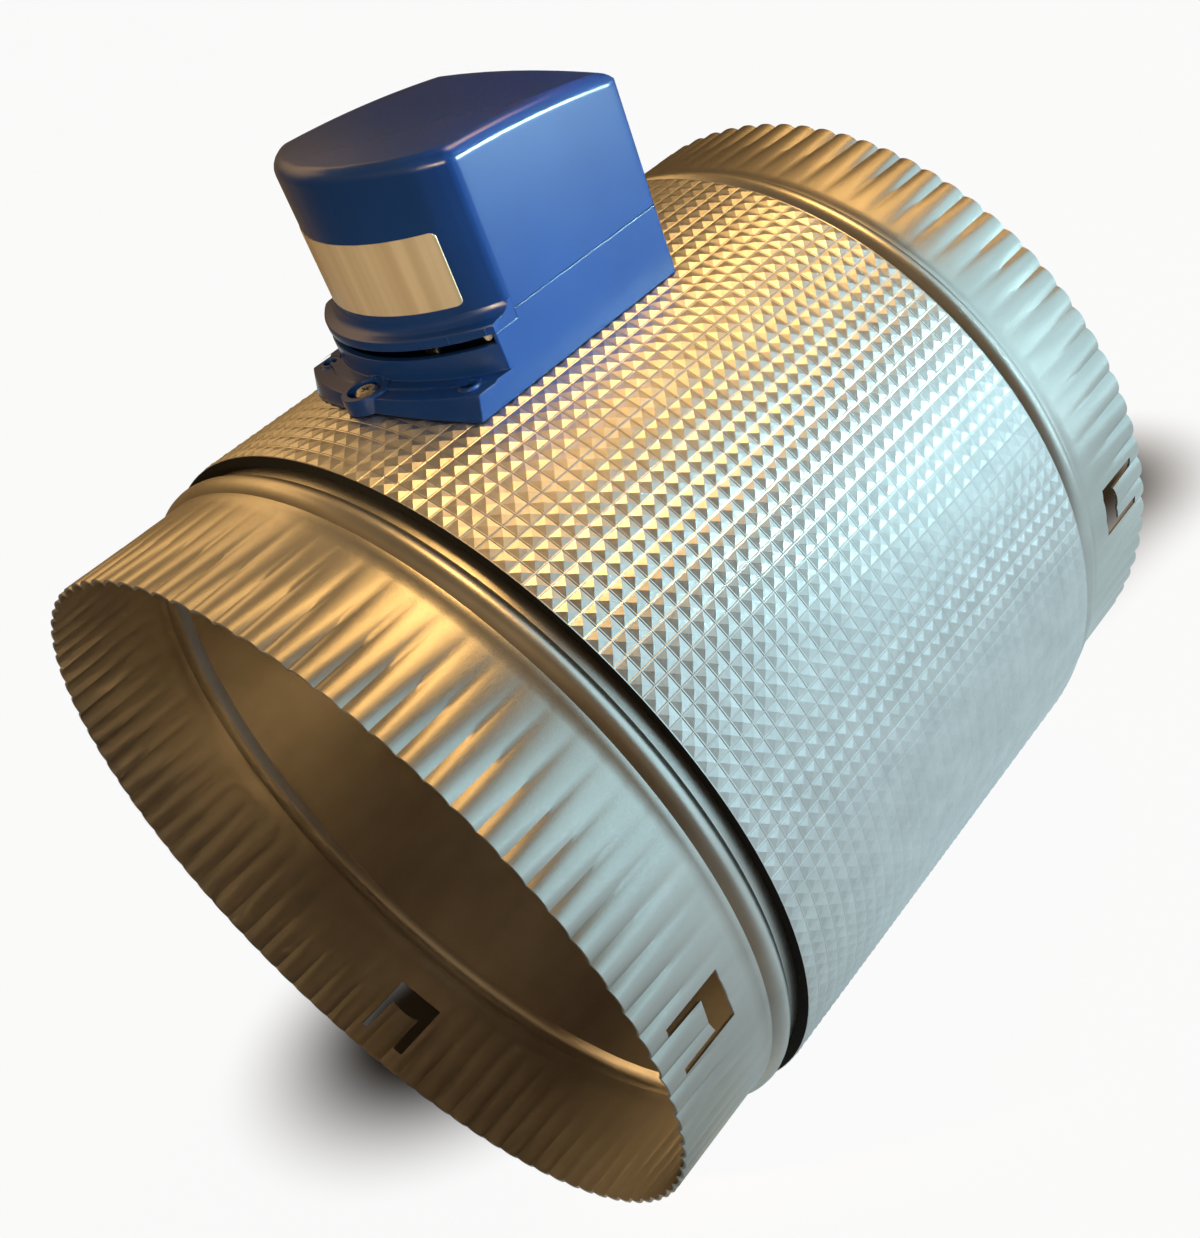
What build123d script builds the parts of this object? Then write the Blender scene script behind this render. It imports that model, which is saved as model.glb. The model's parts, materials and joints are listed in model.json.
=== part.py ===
"""Motorised round zone damper for an air duct.

A crimped steel tube with two rolled beads carries a foam sleeve with a foil skin.  A round
blade on a vertical shaft closes the tube.  A geared actuator sits on top and turns the shaft.

Frame, in millimetres: the origin is the centre of the inlet rim, +X runs along the duct to the
outlet, +Z points from the duct axis to the actuator.  The shaft stands on the duct's middle.
At rest the blade is closed, square across the duct.
"""
import os
from math import acos, asin, cos, degrees, pi, radians, sin, sqrt, tan

from build123d import *

# Duct tube
DUCT_R = 127.0  # outside radius of the plain tube
DUCT_L = 279.4  # rim to rim
WALL = 0.8  # sheet thickness
FLUTES = 90  # crimps round each end
FLUTE_DEPTH = 1.8  # depth of a crimp at the rim
FLUTE_CREST = 0.34  # share of a flute's pitch that its crest takes
CREST_DROP = 0.1  # share of the depth by which the crest's corners lie lower
CRIMP_L = 38.7  # length of the crimped end
CRIMP_STEP = 0.15  # the crimped end is this much smaller in radius
BEAD_X = 45.1  # bead crest from the rim
BEAD_W = 8.4
BEAD_H = 2.6
SLOT_COUNT = 3  # U-shaped punched slots round each end
SLOT_FIRST = 90.5  # degrees from +Z towards -Y
SLOT_X0 = 6.8  # rim end of the slot's legs
SLOT_X1 = 28.0  # closed end
SLOT_SPAN = 19.3  # width across both legs
SLOT_LEG = 3.3
SLOT_WEB = 7.8
SLOT_CUT = 6.0  # half height of a slot's punch
TONGUE_R = 24.0  # radius of a tongue's hollow end
TONGUE_BOW = 0.8

# Insulation
FOAM_X = 53.3  # cut end of the foam from the inlet rim
FOAM_T = 4.3
FOIL_T = 0.3

# Shaft, bushings and blade
SHAFT_R = 4.76
RUN_GAP = 0.05  # radial clearance of the running fits
BUSH_R = 8.0
BUSH_FLANGE_R = 12.0
BUSH_FLANGE_T = 2.0
POCKET_R = 14.0  # hole in the foam round a bushing
GASKET_GAP = 0.6  # blade seal to tube wall
GASKET_T = 3.0
PLATE_T = 0.8
PLATE_IN = 4.6  # plates are smaller than the seal by this
RETAINER_R = 8.2  # push nut under the lower bushing
RETAINER_T = 0.8
STRAP_T = 1.6
STRAP_W = 22.0
STRAP_Z = 60.0
STRAP_FOOT = 18.0  # half length of a strap's feet
BOLT_R = 2.5
BOLT_Y = 12.0
BOLT_HEAD_R = 4.6
BOLT_HEAD_H = 2.2
NUT_R = 4.4
NUT_H = 3.4
RIVETS = 6
RIVET_R = 1.6
RIVET_IN = 9.0  # rivets inside the plate's rim by this
RIVET_HEAD_R = 2.9
RIVET_HEAD_H = 1.0

# Actuator plan, seen along the shaft
HALF_W = 37.5  # half width of the base and the cover
FAR_X = 36.5  # shaft to the flat end
COVER_R = 46.6  # round end of the cover
BASE_R = 51.6  # round end of the base wall
FLANGE_R = 60.2  # round end of the flange's top
FLANGE_DRAFT = 15.0  # degrees
LUG_X = -57.3  # screw lug, from the shaft
LUG_R = 7.3
LUG_BORE_R = 5.2  # counterbore for the screw's head
HOLE_X = -45.9  # two holes in the flange
HOLE_IN = 6.3  # hole centre to the flange's side
HOLE_R = 2.0
HOLE_RING_R = 3.3  # raised ring round each hole
FLANGE_STEP_R = 55.6  # the flange is thicker inside this
CASE_T = 2.3
SLIT_REACH = 11.6  # depth of the pointer slit behind the wall's face

# Actuator heights, above the top of the foil
FLANGE_MID = 4.2
FLANGE_SIDE = 2.1
FLANGE_STEP = 0.5
HOLE_RING_H = 0.7  # ring above the flange's thinner part
LUG_RISE = 0.9  # lug above the flange
LUG_SINK = 2.2  # screw seat below the lug's top
RIB_W = 5.0  # rib behind the lug
RIB_RISE = 0.5
SKIRT = 12.0  # how far the walls can reach below the top of the foil
FLOOR_H = 3.4
SLIT_LOW = 10.8
SLIT_HIGH = 13.8
SEAM_H = 16.6
TOP_H = 62.8
TOP_BOW = 413.0  # radius of the cover's arched top
TOP_CREST = -34.7  # where the arch is highest, from the shaft
EDGE_R = 4.0  # rounding of the cover's top edge
CORNER_R = 5.0  # rounding between the round end and the sides
BASE_CORNER_R = 1.0
FAR_CORNER_R = 1.5
SLIT_END = 0.8  # the pointer slit stops this far from the side faces
SLIT_GAP = 0.3  # pointer's ball to the slit's ends
MARKS_IN = (1.1, 9.5, 17.8)  # raised marks on the lip, inwards from the slit's end
MARK_W = 0.6
MARK_H = 0.25

# Label on the round end
LABEL_HALF = 39.5  # degrees
LABEL_LOW = 22.2
LABEL_HIGH = 43.6
LABEL_T = 0.22
LABEL_CORNER = 1.6
GLUE = 0.02

# Gear train
PRESSURE = 25.0  # degrees
OUT_TEETH = 44
OUT_R = 19.8  # pitch radius of the output gear
WHEEL_TEETH = 36
WHEEL_R = 10.8  # pitch radius of the idler's wheel
PINION_TEETH = 12
BACKLASH = 0.2
FINE_BACKLASH = 0.15
GEAR_T = 4.0
WHEEL_T = 3.0
IDLER_AT = 45.0  # degrees about the shaft
MOTOR_AT = -77.0  # degrees about the idler
HUB_R = 8.0
POINTER_AT = 223.5  # degrees about the shaft, with the blade closed
TRAVEL = 90.0  # degrees from closed to open
BALL_R = 1.2
ARM_T = 1.2
ARM_W = 3.0
RING_R = 10.5  # pointer's ring round the hub
CAM_R = 10.2
CAM_REACH = 13.8
CAM_T = 4.0
SWITCH_GAP = 3.9  # cam lobe to a switch's button
SWITCH_L, SWITCH_W, SWITCH_H = 6.0, 12.0, 7.2
SWITCHES_AT = (300.0, 210.0)  # degrees about the shaft
BUTTON = 0.8
SET_SCREW_R = 0.9
IDLER_PIN_R = 1.5
IDLER_HUB_R = 3.0
MOTOR_SHAFT_R = 1.0
MOTOR_R = 10.0
MOTOR_L = 20.0
MOTOR_SINK = 6.0  # length of the shaft inside the can
SHEET_T = 1.2  # gear plate
PLATE_GAP = 1.7  # gear plate to the casing's side walls
PLATE_NEAR = 20.0  # shaft to the plate's inlet edge
POST_R = 2.5
POST_IN = 2.9  # post centre inside the plate's edges

# Fasteners, wire entry and board
SCREW_R = 1.9
SCREW_NEAR = 30.0  # shaft to the screw in the floor's round end
SCREW_IN = 7.5  # far floor screw to the flat end
SCREW_HEAD_R = 3.4
SCREW_HEAD_H = 1.9
RECESS_L, RECESS_W = 3.6, 0.8
GROMMET_R = 6.0
GROMMET_BORE = 3.2
GROMMET_LIP = 2.2
GROMMET_H = 35.5  # above the top of the foil
BOARD_T = 1.6
BOARD_L = 33.0
BOARD_NEAR = 7.0  # the board reaches past the gear plate's inlet edge
BOARD_LIFT = 3.6  # above the gear plate
BOARD_IN = 5.5  # board inside the gear plate's side edges
TERMINALS = 4
TERMINAL_PITCH = 6.2
TERMINAL_W = 9.0
TERMINAL_IN = 9.0  # terminal block to the board's outlet edge
TERMINAL_H = 9.0

# Derived
IN_R = DUCT_R - WALL
FOIL_IN = DUCT_R + FOAM_T
FOIL_R = FOIL_IN + FOIL_T
SX = DUCT_L / 2
Z0 = FOIL_R
FLOOR_Z = Z0 + FLOOR_H
SEAM_Z = Z0 + SEAM_H
SLIT_Z0 = Z0 + SLIT_LOW
SLIT_Z1 = Z0 + SLIT_HIGH
LUG_TOP = Z0 + FLANGE_MID + LUG_RISE
CASE_IN = HALF_W - CASE_T
SLIT_Y = HALF_W - SLIT_END
HOLE_Y = HALF_W - HOLE_IN
FLANGE_FALL = FLANGE_MID - FLANGE_SIDE
FLANGE_BOW = (HALF_W**2 + FLANGE_FALL**2) / (2 * FLANGE_FALL)
HOLE_RING_Z = Z0 + FLANGE_MID - HOLE_Y**2 / (2 * FLANGE_BOW) + HOLE_RING_H
STEP_X = SX - sqrt(COVER_R**2 - HALF_W**2) + 1.0  # where the cover's lip stops on the sides
POINTER_SIDE = max(180.0 - (POINTER_AT - TRAVEL), POINTER_AT - 180.0)  # its widest angle off -X
POINTER_R = (SLIT_Y - BALL_R - SLIT_GAP) / sin(radians(POINTER_SIDE))  # shaft to its tip
ARM_Z = (SLIT_Z0 + SLIT_Z1) / 2
CAM_Z = FLOOR_Z + 2.0
SET_SCREW_Z = (CAM_Z + CAM_T + ARM_Z - ARM_T / 2) / 2
OUT_MODULE = 2 * OUT_R / OUT_TEETH
WHEEL_MODULE = 2 * WHEEL_R / WHEEL_TEETH
GEAR_Z = SLIT_Z1 + 1.0
WHEEL_Z = GEAR_Z + GEAR_T + 1.2
PLATE_Z = WHEEL_Z + WHEEL_T + 2.4
PLATE_TOP = PLATE_Z + SHEET_T
PLATE_Y = CASE_IN - PLATE_GAP
PLATE_X1 = SX + FAR_X - CASE_T - PLATE_GAP - 1.0
SHAFT_LOW = -(DUCT_R + BUSH_FLANGE_T + RETAINER_T + 0.4)  # inside the foam pocket
BLADE_X = SX - SHAFT_R
SEAL_R = IN_R - GASKET_GAP
GROMMET_Z = Z0 + GROMMET_H
BOARD_X0 = SX - PLATE_NEAR - BOARD_NEAR
BOARD_X1 = BOARD_X0 + BOARD_L
BOARD_Y = PLATE_Y - BOARD_IN
BOARD_Z = PLATE_TOP + BOARD_LIFT


def polar(radius, angle):
    """Point at a radius and an angle in degrees."""
    return radius * cos(radians(angle)), radius * sin(radians(angle))


def cylinder_z(radius, z0, z1, x=0.0, y=0.0):
    """Upright cylinder between two heights."""
    return Pos(x, y, (z0 + z1) / 2) * Cylinder(radius, z1 - z0)


def cylinder_x(radius, x0, x1, y=0.0, z=0.0):
    """Cylinder along the duct between two stations."""
    return Pos((x0 + x1) / 2, y, z) * Rot(0, 90, 0) * Cylinder(radius, x1 - x0)


def box_between(x0, x1, y0, y1, z0, z1):
    """Box given by its six faces."""
    centre = Pos((x0 + x1) / 2, (y0 + y1) / 2, (z0 + z1) / 2)
    return centre * Box(x1 - x0, y1 - y0, z1 - z0)


# Tube


def fluted_wire(x, radius, depth):
    """Closed outline with a sharp valley and a blunt crest for each flute."""
    pitch = 360.0 / FLUTES
    low_side = (1 - FLUTE_CREST) / 2
    corners = ((0.0, depth), (low_side, CREST_DROP * depth), (1 - low_side, CREST_DROP * depth))
    points = []
    for k in range(FLUTES):
        for share, drop in corners:
            points.append((x, *polar(radius - drop, (k + share) * pitch)))
    return Polyline(*points, close=True).wire()


def fluted_solid(radius):
    """Solid end whose flutes fade from the rim to the plain tube."""
    rim = fluted_wire(0.0, radius, FLUTE_DEPTH)
    plain = fluted_wire(CRIMP_L, radius, 0.0)
    return Solid.make_loft([rim, plain], ruled=True)


def crimped_end():
    """Inlet end: the space between two fluted solids one sheet apart."""
    return fluted_solid(DUCT_R - CRIMP_STEP) - fluted_solid(IN_R - CRIMP_STEP)


def bead_arc(crest, radius, height, half):
    """Arc of a rolled bead, from its inlet foot to its outlet foot."""
    return ThreePointArc((crest - half, radius), (crest, radius + height), (crest + half, radius))


def barrel():
    """Plain tube with its two rolled beads, turned about the duct axis."""
    half = BEAD_W / 2
    half_in = half - WALL * 0.6
    crests = (BEAD_X, DUCT_L - BEAD_X)
    x0, x1 = CRIMP_L, DUCT_L - CRIMP_L
    outer = [bead_arc(c, DUCT_R, BEAD_H, half) for c in crests]
    inner = [bead_arc(c, IN_R, BEAD_H, half_in) for c in crests]
    lines = [Line((x0, IN_R), (x0, DUCT_R)), Line((x1, DUCT_R), (x1, IN_R))]
    for radius, arcs, reach in ((DUCT_R, outer, half), (IN_R, inner, half_in)):
        lines.append(Line((x0, radius), (crests[0] - reach, radius)))
        lines.append(Line((crests[0] + reach, radius), (crests[1] - reach, radius)))
        lines.append(Line((crests[1] + reach, radius), (x1, radius)))
        lines += arcs
    face = make_face(Curve() + lines)
    return revolve(Plane.XZ * face, Axis.X, 360)


def u_slot(angle):
    """Cutter for one punched slot: two legs joined at the bead side round a hollow-ended tongue."""
    seat = Plane(
        origin=(0, -DUCT_R * sin(radians(angle)), DUCT_R * cos(radians(angle))),
        x_dir=(1, 0, 0),
        z_dir=(0, -sin(radians(angle)), cos(radians(angle))),
    )
    length = SLOT_X1 - SLOT_X0
    outline = Pos((SLOT_X0 + SLOT_X1) / 2, 0) * Rectangle(length, SLOT_SPAN)
    tongue_end = SLOT_X1 - SLOT_WEB
    tongue = Pos(tongue_end - length / 2, 0) * Rectangle(length, SLOT_SPAN - 2 * SLOT_LEG)
    hollow = Pos(tongue_end + TONGUE_R - TONGUE_BOW, 0) * Circle(TONGUE_R)
    return seat.location * extrude(outline - (tongue - hollow), SLOT_CUT, both=True)


def duct_tube():
    """Sheet tube: crimped ends, beads, punched slots, shaft holes and screw holes."""
    end = crimped_end()
    for k in range(SLOT_COUNT):
        end -= u_slot(SLOT_FIRST + k * 360.0 / SLOT_COUNT)
    far = mirror(end, Plane.YZ.offset(SX))
    tube = barrel() - cylinder_z(BUSH_R, -DUCT_R - 5, DUCT_R + 5, SX)
    tube -= screw_holes()
    return tube + end + far


# Insulation


def screw_places():
    """Plan positions of the screws that hold the actuator to the duct."""
    return [(SX + LUG_X, 0.0), (SX - SCREW_NEAR, 0.0), (SX + FAR_X - SCREW_IN, 0.0)]


def screw_holes():
    """Cutters for the sheet metal screws."""
    low, high = IN_R - SCREW_R, SEAM_Z
    return [cylinder_z(SCREW_R, low, high, x, y) for x, y in screw_places()]


def sleeve(r0, r1):
    """Ring round the duct between the two cut ends of the insulation."""
    ring = cylinder_x(r1, FOAM_X, DUCT_L - FOAM_X) - cylinder_x(r0, 0, DUCT_L)
    return ring - cylinder_z(POCKET_R, 0, Z0 + 5, SX) - screw_holes()


def insulation_foam():
    """Closed-cell foam with a pocket for each bushing."""
    return sleeve(DUCT_R, FOIL_IN) - cylinder_z(POCKET_R, -Z0 - 5, 0, SX)


def foil_facing():
    """Aluminium skin on the foam."""
    return sleeve(FOIL_IN, FOIL_R)


# Shaft and blade


def bushing():
    """Upper flanged bushing; its flange lies on the outside of the tube."""
    barrel_part = cylinder_z(BUSH_R, IN_R - 0.2, DUCT_R, SX)
    flange = cylinder_z(BUSH_FLANGE_R, DUCT_R, DUCT_R + BUSH_FLANGE_T, SX)
    bore = cylinder_z(SHAFT_R + RUN_GAP, 0, DUCT_R + BUSH_FLANGE_T + 1, SX)
    return barrel_part + flange - bore


def lower_bushing():
    """The same bushing, upside down at the bottom of the tube."""
    return mirror(bushing(), Plane.XY)


def blade_shaft():
    """Round steel shaft from the lower bushing to the top of the gear hub."""
    top = GEAR_Z + GEAR_T + 1.0
    rod = cylinder_z(SHAFT_R, SHAFT_LOW, top, SX)
    return chamfer(rod.edges().group_by(Axis.Z)[-1], 0.6)


def shaft_retainer():
    """Push nut under the lower bushing."""
    z = -(DUCT_R + BUSH_FLANGE_T) - 0.1
    return cylinder_z(RETAINER_R, z - RETAINER_T, z, SX) - cylinder_z(SHAFT_R, z - 5, z + 5, SX)


def stack():
    """Stations of the blade's layers along X, from the shaft towards the inlet."""
    back = BLADE_X - PLATE_T
    seal = back - GASKET_T
    front = seal - PLATE_T
    return back, seal, front


def bolt_places():
    """Positions across and up of the strap bolts."""
    return [(y, z) for y in (-BOLT_Y, BOLT_Y) for z in (-STRAP_Z, STRAP_Z)]


def rivet_places():
    """Positions across and up of the rivets near the blade's rim."""
    ring = SEAL_R - PLATE_IN - RIVET_IN
    return [polar(ring, k * 360.0 / RIVETS) for k in range(RIVETS)]


def fastener_holes(x0, x1):
    """Cutters for the strap bolts and the rivets through one blade layer."""
    holes = [cylinder_x(BOLT_R, x0, x1, y, z) for y, z in bolt_places()]
    holes += [cylinder_x(RIVET_R, x0, x1, y, z) for y, z in rivet_places()]
    return holes


def blade_plate_back():
    """Steel disc that the shaft lies against."""
    x = stack()[0]
    return cylinder_x(SEAL_R - PLATE_IN, x, BLADE_X) - fastener_holes(x - 1, BLADE_X + 1)


def blade_seal():
    """Rubber disc between the plates; its edge seals on the tube."""
    back, seal, _ = stack()
    return cylinder_x(SEAL_R, seal, back) - fastener_holes(seal - 1, back + 1)


def blade_plate_front():
    """Steel disc on the inlet side."""
    _, seal, front = stack()
    return cylinder_x(SEAL_R - PLATE_IN, front, seal) - fastener_holes(front - 1, seal + 1)


def strap(z):
    """Strap that holds the shaft against the blade."""
    reach = SHAFT_R + STRAP_T
    foot = Pos(BLADE_X + STRAP_T / 2, 0) * Rectangle(STRAP_T, 2 * STRAP_FOOT)
    hump = Pos(SX, 0) * Circle(reach) + Pos((BLADE_X + SX) / 2, 0) * Rectangle(SHAFT_R, 2 * reach)
    room = Pos(SX, 0) * Circle(SHAFT_R) + Pos((BLADE_X + SX) / 2, 0) * Rectangle(SHAFT_R, 2 * SHAFT_R)
    front = Pos(BLADE_X - reach, 0) * Rectangle(2 * reach, 3 * STRAP_FOOT)
    outline = foot + hump - room - front
    return Pos(0, 0, z - STRAP_W / 2) * extrude(outline, STRAP_W)


def blade_straps():
    """Two straps, each held by a pair of bolts."""
    pair = strap(-STRAP_Z) + strap(STRAP_Z)
    return pair - [cylinder_x(BOLT_R, BLADE_X - 1, BLADE_X + 5, y, z) for y, z in bolt_places()]


def blade_bolts():
    """Four bolts with round heads on the inlet side."""
    front = stack()[2]
    end = BLADE_X + STRAP_T + NUT_H + 1.0
    bolts = []
    for y, z in bolt_places():
        head = cylinder_x(BOLT_HEAD_R, front - BOLT_HEAD_H, front, y, z)
        head = chamfer(head.edges().group_by(Axis.X)[0], BOLT_HEAD_H / 2)
        bolts.append(head + cylinder_x(BOLT_R, front, end, y, z))
    return bolts


def blade_nuts():
    """Four hexagon nuts behind the straps."""
    x = BLADE_X + STRAP_T
    nuts = []
    for y, z in bolt_places():
        outline = Plane.YZ * (RegularPolygon(NUT_R, 6) - Circle(BOLT_R))
        nuts.append(Pos(x, y, z) * extrude(outline, NUT_H))
    return nuts


def blade_rivets():
    """Rivets round the blade's rim."""
    front = stack()[2]
    rivets = []
    for y, z in rivet_places():
        rivet = cylinder_x(RIVET_R, front, BLADE_X, y, z)
        rivet += cylinder_x(RIVET_HEAD_R, front - RIVET_HEAD_H, front, y, z)
        rivet += cylinder_x(RIVET_HEAD_R, BLADE_X, BLADE_X + RIVET_HEAD_H, y, z)
        rivets.append(rivet)
    return rivets


# Gear train


def tooth_points(teeth, module, slack):
    """Outline points of an involute gear with straight-sided facets."""
    pitch_r = module * teeth / 2
    base_r = pitch_r * cos(radians(PRESSURE))
    tip_r = pitch_r + 0.85 * module
    root_r = pitch_r - 1.15 * module
    half = (pi * module / 2 - slack) / 2 / pitch_r

    def spread(radius):
        """Half the tooth's angle at a radius."""
        angle = acos(min(1.0, base_r / max(radius, base_r)))
        flat = radians(PRESSURE)
        return half + (tan(flat) - flat) - (tan(angle) - angle)

    stations = [root_r, pitch_r, tip_r]
    if root_r < base_r:
        stations = [root_r, base_r, pitch_r, tip_r]
    points = []
    for k in range(teeth):
        middle = 2 * pi * k / teeth
        for r in stations:
            points.append((r, middle - spread(r)))
        for r in reversed(stations):
            points.append((r, middle + spread(r)))
    return [(r * cos(a), r * sin(a)) for r, a in points]


def gear(teeth, module, slack, bore, z, height, x, y, turn):
    """Spur gear with a bore, standing at a height with one tooth at a given angle."""
    outline = make_face(Polyline(*tooth_points(teeth, module, slack), close=True))
    blank = extrude(outline, height) - Pos(0, 0, height / 2) * Cylinder(bore, 3 * height)
    return Pos(x, y, z) * Rot(0, 0, turn) * blank


def idler_place():
    """Plan position of the idler's pin."""
    dx, dy = polar((OUT_TEETH + PINION_TEETH) * OUT_MODULE / 2, IDLER_AT)
    return SX + dx, dy


def motor_place():
    """Plan position of the motor's shaft."""
    x, y = idler_place()
    dx, dy = polar((WHEEL_TEETH + PINION_TEETH) * WHEEL_MODULE / 2, MOTOR_AT)
    return x + dx, y + dy


def output_gear():
    """Gear on the blade's hub."""
    return gear(OUT_TEETH, OUT_MODULE, BACKLASH, HUB_R, GEAR_Z, GEAR_T, SX, 0, IDLER_AT)


def idler_pinion():
    """Small gear of the idler, with the hub that carries the wheel."""
    x, y = idler_place()
    turn = IDLER_AT + 180 + 180.0 / PINION_TEETH
    bore = IDLER_PIN_R + RUN_GAP
    low = GEAR_Z - 0.2
    shoulder = GEAR_Z + GEAR_T + 0.4
    small = gear(PINION_TEETH, OUT_MODULE, BACKLASH, bore, low, shoulder - low, x, y, turn)
    hub = cylinder_z(IDLER_HUB_R, shoulder, WHEEL_Z + WHEEL_T + 0.4, x, y)
    return small + hub - cylinder_z(bore, low - 1, PLATE_Z, x, y)


def idler_wheel():
    """Large gear of the idler, driven by the motor."""
    x, y = idler_place()
    bore = IDLER_HUB_R
    return gear(WHEEL_TEETH, WHEEL_MODULE, FINE_BACKLASH, bore, WHEEL_Z, WHEEL_T, x, y, MOTOR_AT)


def motor_pinion():
    """Pinion on the motor's shaft."""
    x, y = motor_place()
    turn = MOTOR_AT + 180 + 180.0 / PINION_TEETH
    z, height = WHEEL_Z - 0.4, WHEEL_T + 0.8
    return gear(PINION_TEETH, WHEEL_MODULE, FINE_BACKLASH, MOTOR_SHAFT_R, z, height, x, y, turn)


def motor_shaft():
    """Motor shaft, from the pinion up into the can."""
    x, y = motor_place()
    return cylinder_z(MOTOR_SHAFT_R, WHEEL_Z - 0.4, PLATE_TOP + MOTOR_SINK - 1.0, x, y)


def idler_pin():
    """Steel pin of the idler, held in the floor and the gear plate."""
    x, y = idler_place()
    return cylinder_z(IDLER_PIN_R, FLOOR_Z - 1.5, PLATE_TOP, x, y)


def drive_hub():
    """Hub on the shaft that carries cam, pointer and gear."""
    hub = cylinder_z(HUB_R, CAM_Z - 1.0, GEAR_Z + GEAR_T, SX)
    hub -= cylinder_z(SHAFT_R, CAM_Z - 2.0, GEAR_Z + GEAR_T + 1, SX)
    return hub - cylinder_x(SET_SCREW_R, SX + 1, SX + HUB_R + 1, 0, SET_SCREW_Z)


def hub_set_screw():
    """Set screw that locks the hub on the shaft."""
    return cylinder_x(SET_SCREW_R, SX + SHAFT_R, SX + HUB_R - 0.5, 0, SET_SCREW_Z)


def switch_cam():
    """Cam ring under the pointer that works the end switches."""
    lobe = Rot(0, 0, SWITCHES_AT[0]) * Pos(CAM_REACH / 2, 0) * Rectangle(CAM_REACH, CAM_R / 2)
    return Pos(SX, 0, CAM_Z) * extrude(Circle(CAM_R) + lobe - Circle(HUB_R), CAM_T)


def pointer_arm():
    """Arm from the hub to the slit in the casing."""
    length = POINTER_R - BALL_R
    arm = Rot(0, 0, POINTER_AT) * Pos(length / 2, 0) * Rectangle(length, ARM_W)
    outline = Circle(RING_R) + arm - Circle(HUB_R)
    return Pos(SX, 0, ARM_Z - ARM_T / 2) * extrude(outline, ARM_T)


def pointer_tip():
    """White ball at the end of the pointer, seen in the slit."""
    x, y = polar(POINTER_R, POINTER_AT)
    ball = Pos(SX + x, y, ARM_Z) * Sphere(BALL_R)
    return ball - pointer_arm()


# Actuator casing


def d_face(round_r, half_w, far, corner=0.0, far_corner=0.0):
    """D-shaped plan: a round inlet end, straight sides and a flat far end."""
    disc = Circle(round_r) & Pos(-round_r / 2, 0) * Rectangle(round_r, 2 * half_w)
    block = Pos(far / 2, 0) * Rectangle(far, 2 * half_w)
    face = disc + block
    near = -sqrt(round_r**2 - half_w**2)
    if corner > 0:
        picked = [v for v in face.vertices() if abs(v.X - near) < 0.01]
        face = fillet(picked, corner)
    if far_corner > 0:
        picked = [v for v in face.vertices() if abs(v.X - far) < 0.01]
        face = fillet(picked, far_corner)
    return face


def prism(face, z0, z1, taper=0.0):
    """Plan face set over the shaft and drawn up between two heights."""
    return Pos(SX, 0, z0) * extrude(face, z1 - z0, taper=taper)


def flange():
    """Saddle flange with a step, arched across the duct."""
    low = Z0 - SKIRT
    high = Z0 + FLANGE_MID + FLANGE_STEP + 1.0
    grow = (high - low) * tan(radians(FLANGE_DRAFT))
    near = FLANGE_R + grow
    disc = Circle(near) & Pos(-near / 2, 0) * Rectangle(near, 3 * HALF_W)
    plate = prism(disc, low, high, taper=FLANGE_DRAFT)
    plate &= box_between(SX - near, SX, -HALF_W, HALF_W, low, high)
    middle = Z0 + FLANGE_MID - FLANGE_BOW
    low_arch = cylinder_x(FLANGE_BOW, SX - near - 5, SX + 5, 0, middle)
    high_arch = cylinder_x(FLANGE_BOW + FLANGE_STEP, SX - near - 5, SX + 5, 0, middle)
    return (plate & low_arch) + (plate & high_arch & cylinder_z(FLANGE_STEP_R, low, high, SX))


def screw_lug():
    """Lug at the flange's tip that stands proud of it, with a rib to the wall behind it."""
    lug = cylinder_z(LUG_R, Z0 - SKIRT, LUG_TOP, SX + LUG_X, 0)
    rib = box_between(SX + LUG_X, SX - BASE_R + 1, -RIB_W / 2, RIB_W / 2, Z0, LUG_TOP + RIB_RISE)
    return lug + rib


def flange_holes(radius, z0, z1):
    """Two upright cylinders at the flange's holes."""
    return [cylinder_z(radius, z0, z1, SX + HOLE_X, side * HOLE_Y) for side in (-1, 1)]


def pointer_slit():
    """Cutter for the slit that the pointer's tip shows in."""
    room = box_between(SX - BASE_R - 3, SX, -SLIT_Y, SLIT_Y, SLIT_Z0, SEAM_Z + 1)
    ring = cylinder_z(BASE_R + 3, SLIT_Z0, SEAM_Z + 1, SX)
    return room & (ring - cylinder_z(BASE_R - SLIT_REACH, 0, SEAM_Z + 5, SX))


def actuator_base():
    """Lower casing: saddle flange, floor and walls, with the pointer slit cut in the rim."""
    low = Z0 - SKIRT
    outer = prism(d_face(BASE_R, HALF_W, FAR_X, BASE_CORNER_R, FAR_CORNER_R), low, SEAM_Z)
    cavity = prism(d_face(BASE_R - CASE_T, CASE_IN, FAR_X - CASE_T), FLOOR_Z, SEAM_Z + 1)
    step = box_between(SX - BASE_R - 3, STEP_X, -HALF_W - 5, HALF_W + 5, SLIT_Z1, SEAM_Z + 1)
    base = outer + flange() + screw_lug()
    base += flange_holes(HOLE_RING_R, Z0 - FLANGE_MID, HOLE_RING_Z)
    base -= cavity + step + pointer_slit()
    base -= cylinder_x(FOIL_R, 0, DUCT_L)
    base -= cylinder_z(SHAFT_R + 1.5, low, FLOOR_Z + 1, SX)
    base -= flange_holes(HOLE_R, low, Z0 + 2 * FLANGE_MID)
    base -= cylinder_z(IDLER_PIN_R, FLOOR_Z - 1.5, FLOOR_Z + 1, *idler_place())
    base -= screw_holes()
    return base - cylinder_z(LUG_BORE_R, LUG_TOP - LUG_SINK, LUG_TOP + 9, SX + LUG_X, 0)


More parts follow.
